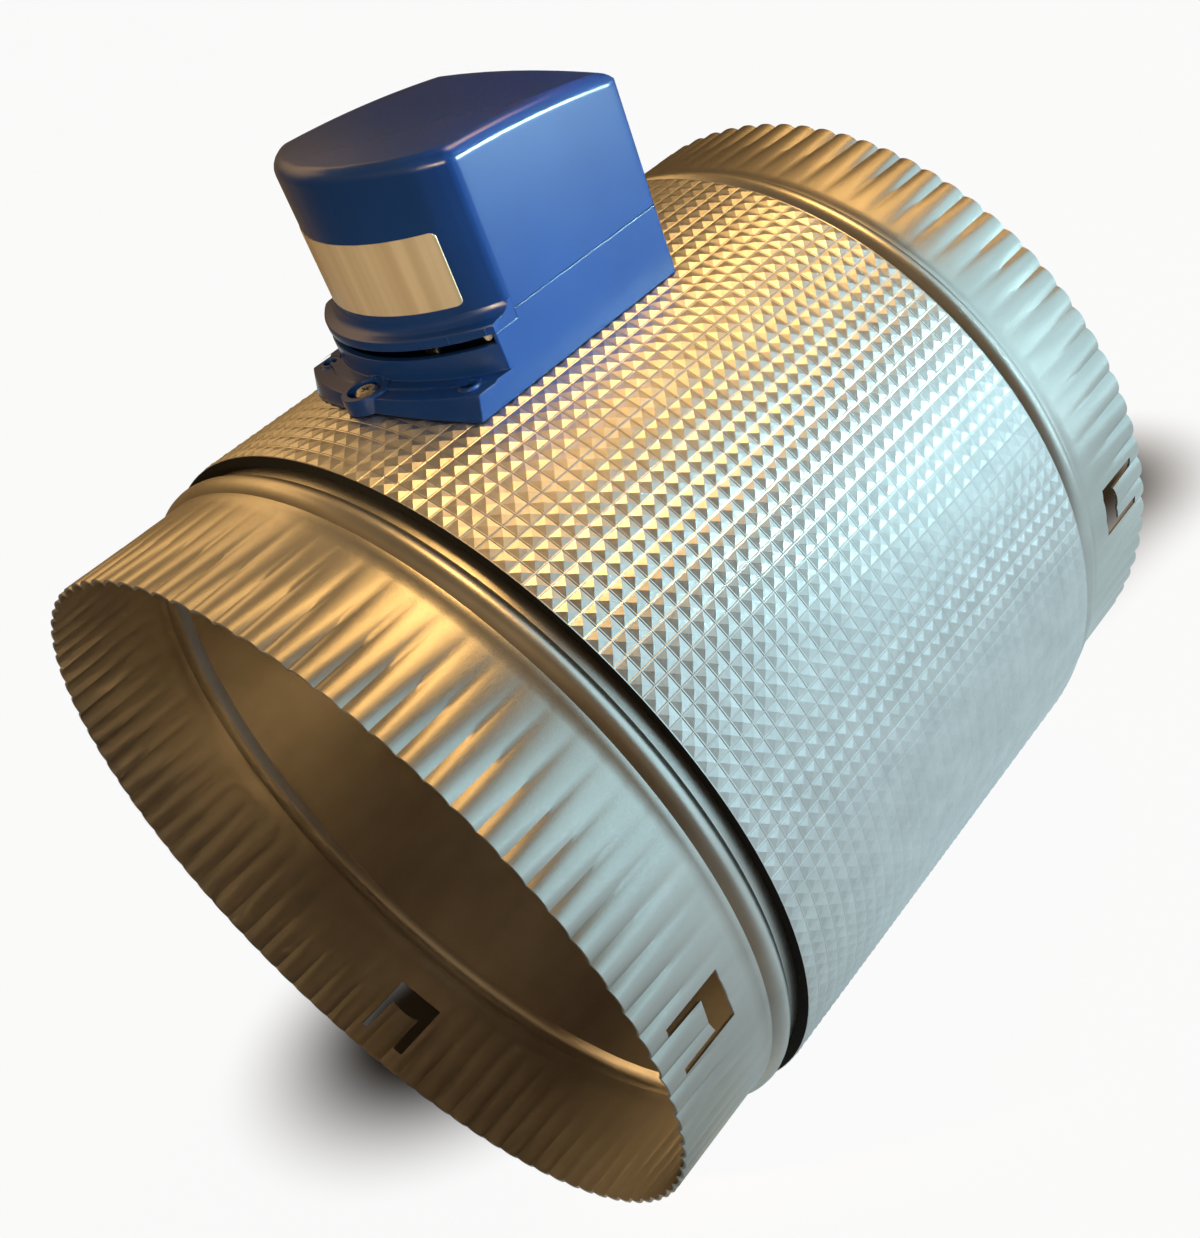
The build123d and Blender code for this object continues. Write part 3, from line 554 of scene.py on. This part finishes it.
def make_cover():
    """Arched shell of the actuator with its wire entry."""
    shell = cover_block()
    arch_top(shell)
    modify(shell, "SOLIDIFY", thickness=COVER_WALL, offset=-1.0, use_even_offset=True)
    bpy.ops.mesh.primitive_cylinder_add(
        vertices=48, radius=GROMMET_R, depth=20 * MM,
        location=(CASING_FAR, 0, GROMMET_Z), rotation=(0, pi / 2, 0)
    )
    tool = named("entry_tool")
    modify(shell, "BOOLEAN", operation="DIFFERENCE", object=tool, solver="EXACT")
    drop_object(tool)
    edit(shell, "EDGE")
    pick_edges(shell, lambda a, b: max(a.z, b.z) < SEAM_Z + SAME
               and on_outside(a) and on_outside(b))
    bevel_picked(SOFT_EDGE, 2)
    done()
    return settle(shell)


def on_outside(point):
    """True for a point on the outer face of the cover's or the base's walls."""
    reach = sqrt((point.x - SHAFT_X) ** 2 + point.y ** 2)
    near = 1.2 * MM
    return (abs(point.y) > CASING_HALF - near or point.x > CASING_FAR - near
            or (point.x < SHAFT_X and reach > COVER_R - near))


def make_lip():
    """Lip over the pointer slit: a band with a hollow sweep up to the wall."""
    # Radius and height above the lip's lower edge, in millimetres
    profile = (
        (51.6, 0.0), (51.6, 2.0), (51.3, 2.6), (50.6, 2.9), (48.8, 3.1), (47.6, 3.8),
        (46.9, 4.9), (46.6, 6.1), (45.6, 6.1), (45.0, 0.0),
    )
    radius, z = profile[0]
    bpy.ops.mesh.primitive_circle_add(
        vertices=180, radius=radius * MM, location=(SHAFT_X, 0, LIP_Z)
    )
    lip = named("cover_lip")
    edit(lip)
    everything()
    for next_radius, next_z in profile[1:] + profile[:1]:
        grow((0, 0, (next_z - z) * MM))
        bpy.ops.transform.resize(
            value=(next_radius / radius, next_radius / radius, 1), center_override=(SHAFT_X, 0, 0)
        )
        radius, z = next_radius, next_z
    weld(0.005 * MM)
    side = CASING_HALF - 0.01 * MM
    cut(lip, (0, side, 0), (0, 1, 0))
    cut(lip, (0, -side, 0), (0, -1, 0))
    cut(lip, (SHAFT_X - LIP_BACK, 0, 0), (1, 0, 0))
    done()
    modify(lip, "BEVEL", width=0.2 * MM, segments=2, limit_method="ANGLE",
           angle_limit=radians(50))
    return settle(lip)


def make_marks():
    """Three raised marks on the lip for the pointer's positions."""
    marks = []
    middle = (SHAFT_X - LIP_R, 0, LIP_Z + MARK_MIDDLE)
    for inward in MARKS_IN:
        y = CASING_HALF - inward
        turn = atan2(y, sqrt(LIP_R ** 2 - y ** 2))
        bpy.ops.mesh.primitive_cube_add(size=1, location=middle)
        mark = named("lip_mark")
        edit(mark)
        everything()
        bpy.ops.transform.resize(value=MARK_SIZE, center_override=middle)
        bpy.ops.mesh.bevel(offset=0.15 * MM, offset_type="OFFSET", segments=2)
        bpy.ops.transform.rotate(value=-turn, orient_axis="Z", center_override=(SHAFT_X, 0, 0))
        done()
        marks.append(mark)
    return settle(join(marks[0], marks[1:]))


def cleaned_copy(node, name):
    """Copy of a node's mesh with its doubles merged and its flat faces made whole."""
    copy = bpy.data.objects.new(name, frame["nodes"][node].data.copy())
    bpy.context.scene.collection.objects.link(copy)
    only(copy)
    copy.data.name = name
    edit(copy)
    everything()
    bpy.ops.mesh.remove_doubles(threshold=0.002 * MM)
    bpy.ops.mesh.dissolve_limited(angle_limit=radians(0.5))
    done()
    return copy


def make_base():
    """Saddle base with softly broken edges."""
    base = cleaned_copy("actuator_base", "base_moulding")
    modify(base, "BEVEL", width=SOFT_EDGE, segments=2, limit_method="ANGLE",
           angle_limit=radians(40), use_clamp_overlap=False)
    return settle(base, 40)


# Materials


def node_material(name):
    """Empty node material and its principled shader."""
    material = bpy.data.materials.new(name)
    material.use_nodes = True
    return material, material.node_tree, material.node_tree.nodes["Principled BSDF"]


def texture(tree, kind, scale, stretch=(1, 1, 1), **sockets):
    """Procedural texture on object coordinates, in cycles per metre."""
    nodes, links = tree.nodes, tree.links
    coords = nodes.new("ShaderNodeTexCoord")
    mapping = nodes.new("ShaderNodeMapping")
    mapping.inputs["Scale"].default_value = stretch
    node = nodes.new(kind)
    links.new(coords.outputs["Object"], mapping.inputs["Vector"])
    links.new(mapping.outputs["Vector"], node.inputs["Vector"])
    node.inputs["Scale"].default_value = scale
    for key, value in sockets.items():
        node.inputs[key].default_value = value
    return node


def ramp(tree, source, low, high, first, second):
    """Maps a texture's range onto two colours."""
    node = tree.nodes.new("ShaderNodeValToRGB")
    node.color_ramp.elements[0].position = low
    node.color_ramp.elements[1].position = high
    node.color_ramp.elements[0].color = (*first, 1)
    node.color_ramp.elements[1].color = (*second, 1)
    tree.links.new(source, node.inputs["Fac"])
    return node.outputs["Color"]


def fade(tree, source, places=(0.0, 1.0), values=(0.0, 1.0), kind="LINEAR"):
    """Run of a value between two places."""
    node = tree.nodes.new("ShaderNodeMapRange")
    node.interpolation_type = kind
    node.inputs["From Min"].default_value, node.inputs["From Max"].default_value = places
    node.inputs["To Min"].default_value, node.inputs["To Max"].default_value = values
    tree.links.new(source, node.inputs["Value"])
    return node.outputs["Result"]


def spread(tree, source, low, high):
    """Maps the common range of a texture onto two numbers."""
    return fade(tree, source, (0.3, 0.7), (low, high), "SMOOTHSTEP")


def bump(tree, shader, source, strength, distance):
    """Adds fine relief from a texture."""
    node = tree.nodes.new("ShaderNodeBump")
    node.inputs["Strength"].default_value = strength
    node.inputs["Distance"].default_value = distance
    tree.links.new(source, node.inputs["Height"])
    tree.links.new(node.outputs["Normal"], shader.inputs["Normal"])


def galvanised():
    """Satin zinc sheet with a fine grain and faint drawing marks."""
    material, tree, shader = node_material("galvanised_sheet")
    grain = texture(tree, "ShaderNodeTexNoise", 2600, Detail=3.0, Roughness=0.6)
    cloud = texture(tree, "ShaderNodeTexNoise", 45, (0.4, 1, 1), Detail=4.0)
    colour = ramp(tree, cloud.outputs["Fac"], 0.3, 0.7, (0.5, 0.49, 0.47), (0.62, 0.605, 0.58))
    tree.links.new(colour, shader.inputs["Base Color"])
    shader.inputs["Metallic"].default_value = 1.0
    tree.links.new(spread(tree, grain.outputs["Fac"], 0.28, 0.42), shader.inputs["Roughness"])
    bump(tree, shader, grain.outputs["Fac"], 0.4, 0.00007)
    return material


def foil():
    """Bright aluminium film with fine creases."""
    material, tree, shader = node_material("foil_film")
    crease = texture(tree, "ShaderNodeTexNoise", 900, Detail=5.0, Roughness=0.65)
    cloud = texture(tree, "ShaderNodeTexNoise", 120, Detail=3.0)
    colour = ramp(tree, cloud.outputs["Fac"], 0.3, 0.7, (0.6, 0.6, 0.6), (0.7, 0.7, 0.7))
    tree.links.new(colour, shader.inputs["Base Color"])
    shader.inputs["Metallic"].default_value = 1.0
    tree.links.new(spread(tree, crease.outputs["Fac"], 0.3, 0.43), shader.inputs["Roughness"])
    bump(tree, shader, crease.outputs["Fac"], 0.35, 0.0001)
    return material


def blue_plastic():
    """Glossy moulded blue plastic with a faint ripple."""
    material, tree, shader = node_material("blue_moulding")
    ripple = texture(tree, "ShaderNodeTexNoise", 70, Detail=2.0)
    cloud = texture(tree, "ShaderNodeTexNoise", 25, Detail=2.0)
    colour = ramp(tree, cloud.outputs["Fac"], 0.3, 0.7, (0.008, 0.046, 0.22), (0.01, 0.056, 0.255))
    tree.links.new(colour, shader.inputs["Base Color"])
    tree.links.new(spread(tree, ripple.outputs["Fac"], 0.23, 0.26), shader.inputs["Roughness"])
    shader.inputs["Specular IOR Level"].default_value = 0.45
    bump(tree, shader, ripple.outputs["Fac"], 0.05, 0.0003)
    return material


def label_film():
    """Metallised label with faint upright streaks."""
    material, tree, shader = node_material("silver_label")
    streak = texture(tree, "ShaderNodeTexNoise", 160, (1, 1, 0.02), Detail=4.0)
    grain = texture(tree, "ShaderNodeTexNoise", 3000, Detail=2.0)
    colour = ramp(tree, streak.outputs["Fac"], 0.35, 0.65, (0.74, 0.62, 0.46), (0.95, 0.84, 0.68))
    tree.links.new(colour, shader.inputs["Base Color"])
    tree.links.new(spread(tree, streak.outputs["Fac"], 0.28, 0.42), shader.inputs["Roughness"])
    shader.inputs["Metallic"].default_value = 0.3
    bump(tree, shader, grain.outputs["Fac"], 0.06, 0.0001)
    return material


def plain(name, first, second, roughness, metallic=0.0, grain=800, relief=0.1):
    """Simple finish with a fine two-tone grain."""
    material, tree, shader = node_material(name)
    noise = texture(tree, "ShaderNodeTexNoise", grain, Detail=3.0)
    colour = ramp(tree, noise.outputs["Fac"], 0.3, 0.7, first, second)
    tree.links.new(colour, shader.inputs["Base Color"])
    shader.inputs["Metallic"].default_value = metallic
    tree.links.new(
        spread(tree, noise.outputs["Fac"], roughness * 0.85, roughness * 1.15),
        shader.inputs["Roughness"],
    )
    bump(tree, shader, noise.outputs["Fac"], relief, 0.0001)
    return material


def finishes():
    """One material for each slot of the record."""
    return {
        "galvanised": galvanised(),
        "foam": plain("black_foam", (0.006, 0.006, 0.006), (0.02, 0.02, 0.02), 0.95, 0, 1400, 0.8),
        "foil": foil(),
        "nylon": plain("natural_nylon", (0.7, 0.68, 0.6), (0.78, 0.76, 0.68), 0.45),
        "steel": plain("zinc_plated_steel", (0.5, 0.5, 0.5), (0.68, 0.68, 0.68), 0.3, 1.0, 1500),
        "seal_rubber": plain("seal_rubber", (0.012, 0.012, 0.012), (0.03, 0.03, 0.03), 0.7),
        "rivet_aluminium": plain("rivet_metal", (0.6, 0.6, 0.6), (0.75, 0.75, 0.75), 0.35, 1.0),
        "black_plastic": plain("black_moulding", (0.01, 0.01, 0.01), (0.02, 0.02, 0.02), 0.4),
        "white_plastic": plain("white_moulding", (0.8, 0.8, 0.77), (0.88, 0.88, 0.85), 0.3),
        "gear_brass": plain("machined_brass", (0.6, 0.42, 0.16), (0.72, 0.52, 0.22), 0.3, 1.0),
        "board_green": plain("board_resist", (0.01, 0.09, 0.03), (0.015, 0.13, 0.05), 0.3),
        "terminal_green": plain("terminal_moulding", (0.01, 0.2, 0.06), (0.02, 0.26, 0.08), 0.4),
        "blue_plastic": blue_plastic(),
        "label": label_film(),
        "grommet_rubber": plain("grommet_rubber", (0.01, 0.01, 0.01), (0.025, 0.025, 0.025), 0.6),
    }


def dress(piece, material):
    """Gives a piece one material."""
    piece.data.materials.clear()
    piece.data.materials.append(material)


def seat(piece, body, nodes, material):
    """Rides a new piece on its body in place of the nodes that it stands for."""
    dress(piece, material)
    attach(piece, body)
    if nodes:
        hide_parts(*nodes)


# Studio


def make_camera():
    """Camera at the photograph's place; its rolled axes are right, up and back."""
    data = bpy.data.cameras.new("camera")
    camera = bpy.data.objects.new("camera", data)
    bpy.context.scene.collection.objects.link(camera)
    right = Vector((0.57214, -0.78092, -0.25063))
    up = Vector((0.60632, 0.19696, 0.77044))
    back = right.cross(up).normalized()
    turn = Matrix((right, up, back)).transposed().to_4x4()
    camera.matrix_world = Matrix.Translation((-0.12626, -0.35581, 0.30776)) @ turn
    data.sensor_width = 36.0
    data.lens = 44.04
    data.shift_x = -0.142
    data.shift_y = -0.0007
    data.clip_start = 0.01
    bpy.context.scene.camera = camera


def aim(obj, place, target):
    """Puts an object somewhere and points its -Z at a target."""
    obj.location = place
    back = (Vector(place) - Vector(target)).normalized()
    obj.rotation_euler = back.to_track_quat("Z", "Y").to_euler()


def lamp(name, direction, distance, size, power, colour, target=None, spread=180):
    """Soft round lamp at a distance from its target; azimuth, elevation and spread in degrees."""
    data = bpy.data.lights.new(name, "AREA")
    data.shape = "DISK"
    data.size = size
    data.energy = power
    data.color = colour
    data.spread = radians(spread)
    obj = bpy.data.objects.new(name, data)
    bpy.context.scene.collection.objects.link(obj)
    azimuth, elevation = radians(direction[0]), radians(direction[1])
    target = Vector(target or (DUCT_L / 2, 0, 0))
    outward = Vector((
        cos(azimuth) * cos(elevation), sin(azimuth) * cos(elevation), sin(elevation)
    ))
    aim(obj, target + distance * outward, target)
    obj.visible_camera = False


def make_world():
    """Even warm room light."""
    world = bpy.data.worlds.new("studio")
    bpy.context.scene.world = world
    world.use_nodes = True
    light = world.node_tree.nodes["Background"]
    light.inputs["Color"].default_value = (0.22, 0.15, 0.08, 1)
    light.inputs["Strength"].default_value = 0.82


def calculate(tree, operation, first, second):
    """Math node on two values, each a socket or a number."""
    node = tree.nodes.new("ShaderNodeMath")
    node.operation = operation
    for socket, value in zip(node.inputs, (first, second)):
        if isinstance(value, (int, float)):
            socket.default_value = value
        else:
            tree.links.new(value, socket)
    return node.outputs["Value"]


def painted_shade_mask(tree):
    """Mask of the shade painted on the floor: nought under the duct, where the painted shade is
    darkest, rising to one outside its footprint.
    """
    coords = tree.nodes.new("ShaderNodeTexCoord")
    axes = tree.nodes.new("ShaderNodeSeparateXYZ")
    tree.links.new(coords.outputs["Object"], axes.inputs["Vector"])
    along = calculate(tree, "SUBTRACT", axes.outputs["X"], (PAINTED_SHADE_X0 + PAINTED_SHADE_X1) / 2)
    half = (PAINTED_SHADE_X1 - PAINTED_SHADE_X0) / 2
    along = calculate(tree, "MAXIMUM", calculate(tree, "ABSOLUTE", along, 0), half)
    along = calculate(tree, "SUBTRACT", along, half)
    slant = calculate(tree, "MULTIPLY", axes.outputs["X"], PAINTED_SHADE_SLANT)
    slant = calculate(tree, "SUBTRACT", slant, PAINTED_SHADE_Y + PAINTED_SHADE_SLANT * PAINTED_SHADE_X0)
    across = calculate(tree, "ADD", axes.outputs["Y"], slant)
    across = calculate(tree, "POWER", calculate(tree, "ABSOLUTE", across, 0), 2.0)
    reach = calculate(tree, "ADD", calculate(tree, "POWER", along, 2.0), across)
    reach = calculate(tree, "DIVIDE", calculate(tree, "SQRT", reach, 0), PAINTED_SHADE_R)
    return fade(tree, reach, (0.25, 1.0), kind="SMOOTHSTEP")


def make_floor():
    """Pale floor under the duct; it keeps part of the duct's real shadow, and a soft shade is
    painted under the duct, where its colour darkens and its glow fades.
    """
    bpy.ops.mesh.primitive_circle_add(
        vertices=64, radius=12, fill_type="NGON", location=(DUCT_L / 2, 0, FLOOR_Z)
    )
    floor = named("floor")
    material, tree, shader = node_material("floor_paper")
    nodes, links = tree.nodes, tree.links
    outside_painted_shade = painted_shade_mask(tree)
    # Painted shade: the floor's colour turns dark under the duct
    floor_colour_with_painted_shade = ramp(tree, outside_painted_shade, 0.0, 1.0, (0.05, 0.047, 0.043), (0.32, 0.31, 0.29))
    links.new(floor_colour_with_painted_shade, shader.inputs["Base Color"])
    shader.inputs["Roughness"].default_value = 0.9
    shader.inputs["Specular IOR Level"].default_value = 0.0
    path = nodes.new("ShaderNodeLightPath")
    glow = nodes.new("ShaderNodeEmission")
    glow.inputs["Strength"].default_value = 1.0
    mirrored = calculate(
        tree, "MAXIMUM", path.outputs["Is Glossy Ray"], path.outputs["Is Transmission Ray"]
    )
    # Painted reflection: the glow that metal mirrors is cooler than the floor the camera sees, and
    # dimmer towards the inlet end at low X
    tint = nodes.new("ShaderNodeCombineColor")
    for channel, loss in (("Red", -0.3), ("Green", -0.09), ("Blue", -0.03)):
        kept = calculate(tree, "ADD", calculate(tree, "MULTIPLY", mirrored, loss), 1.0)
        links.new(kept, tint.inputs[channel])
    links.new(tint.outputs["Color"], glow.inputs["Color"])
    coords = nodes.new("ShaderNodeTexCoord")
    axes = nodes.new("ShaderNodeSeparateXYZ")
    links.new(coords.outputs["Object"], axes.inputs["Vector"])
    ahead = fade(tree, axes.outputs["X"], (-0.05, 0.15), (0.08, 1.0))
    mirrored = calculate(tree, "MULTIPLY", mirrored, FLOOR_MIRRORED)
    mirrored = calculate(tree, "MULTIPLY", mirrored, ahead)
    seen = calculate(tree, "MULTIPLY", path.outputs["Is Camera Ray"], FLOOR_SEEN)
    share = calculate(tree, "MAXIMUM", seen, mirrored)
    # Painted shade: the floor's glow fades out under the duct as well
    share = calculate(tree, "MULTIPLY", share, outside_painted_shade)
    mix = nodes.new("ShaderNodeMixShader")
    links.new(share, mix.inputs["Fac"])
    links.new(shader.outputs["BSDF"], mix.inputs[1])
    links.new(glow.outputs["Emission"], mix.inputs[2])
    links.new(mix.outputs["Shader"], nodes["Material Output"].inputs["Surface"])
    dress(floor, material)


def make_backdrop():
    """Low curved backdrop behind and beside the duct, out of the camera's sight; it glows warm,
    brighter high up and towards +Y, lighting the duct and showing in its metal.
    """
    bpy.ops.mesh.primitive_cylinder_add(
        vertices=96, radius=BACKDROP_R, depth=1.0, end_fill_type="NOTHING",
        location=(DUCT_L / 2, 0, FLOOR_Z + 0.5)
    )
    backdrop = named("backdrop")
    edit(backdrop, "FACE")
    pick_faces(backdrop, lambda c, n: c.y < -0.2 * BACKDROP_R and c.x > -0.5 * BACKDROP_R)
    bpy.ops.mesh.delete(type="FACE")
    done()
    material, tree, shader = node_material("backdrop_glow")
    glow_cloud = texture(tree, "ShaderNodeTexNoise", 3)
    colour = ramp(tree, glow_cloud.outputs["Fac"], 0.3, 0.7, (0.31, 0.18, 0.065), (0.39, 0.235, 0.09))
    shader.inputs["Base Color"].default_value = (0.1, 0.06, 0.03, 1)
    tree.links.new(colour, shader.inputs["Emission Color"])
    coords = tree.nodes.new("ShaderNodeTexCoord")
    axes = tree.nodes.new("ShaderNodeSeparateXYZ")
    tree.links.new(coords.outputs["Object"], axes.inputs["Vector"])
    rise = fade(tree, axes.outputs["Z"], (0.3, 0.7), (0.25, 2.6))
    side = fade(tree, axes.outputs["Y"], (0.66, 0.76), (0.3, 2.1))
    tree.links.new(calculate(tree, "MULTIPLY", rise, side), shader.inputs["Emission Strength"])
    shader.inputs["Roughness"].default_value = 0.9
    dress(backdrop, material)
    backdrop.visible_camera = False
    backdrop.visible_shadow = False


def make_studio():
    """Camera, floor, lamps and world."""
    make_camera()
    make_floor()
    make_backdrop()
    make_world()
    casing_side = (SHAFT_X, -CASING_HALF, TOP_Z - 20 * MM)
    inner_floor = (0.05, -0.06, -0.09)
    label_place = (LABEL_LOW.x, 0, (LABEL_LOW.z + LABEL_HIGH.z) / 2)
    lamp("warm_lamp", (-7, 61), 1.6, 0.62, 9.2, (1.0, 0.57, 0.18))
    lamp("cool_lamp", (-42, 2), 1.5, 2.6, 20.5, (0.52, 0.87, 1.0))
    lamp("side_lamp", (-52, 2), 0.9, 0.18, 0.12, (0.6, 1.0, 1.0), casing_side, 7)
    lamp("inside_lamp", (158, 28), 0.5, 0.05, 0.2, (1.0, 0.62, 0.26), inner_floor, 14)
    lamp("sheen_lamp", (-51, -12), 0.7, 0.2, 0.009, (0.6, 0.95, 1.0), casing_side, 12)
    lamp("front_lamp", (188, 35), 1.5, 0.5, 0.4, (1.0, 0.84, 0.6))
    lamp("label_lamp", (226, 15), 0.7, 0.1, 0.02, (1.0, 0.8, 0.5), label_place, 12)
    bpy.context.scene.view_settings.view_transform = "Standard"


def main():
    """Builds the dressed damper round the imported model."""
    looks = finishes()
    slots = {p["node"]: p["material_slot"] for p in frame["record"]["subparts"]}
    for node, obj in frame["nodes"].items():
        dress(obj, looks[slots[node]])
    seat(make_tube(), "housing", ["duct_tube"], looks["galvanised"])
    seat(make_facing(), "housing", ["foil_facing"], looks["foil"])
    seat(make_foam(), "housing", ["insulation_foam"], looks["foam"])
    blue = looks["blue_plastic"]
    seat(make_cover(), "housing", ["actuator_cover"], blue)
    seat(make_lip(), "housing", [], blue)
    seat(make_marks(), "housing", [], blue)
    seat(make_base(), "housing", ["actuator_base"], blue)
    make_studio()


main()
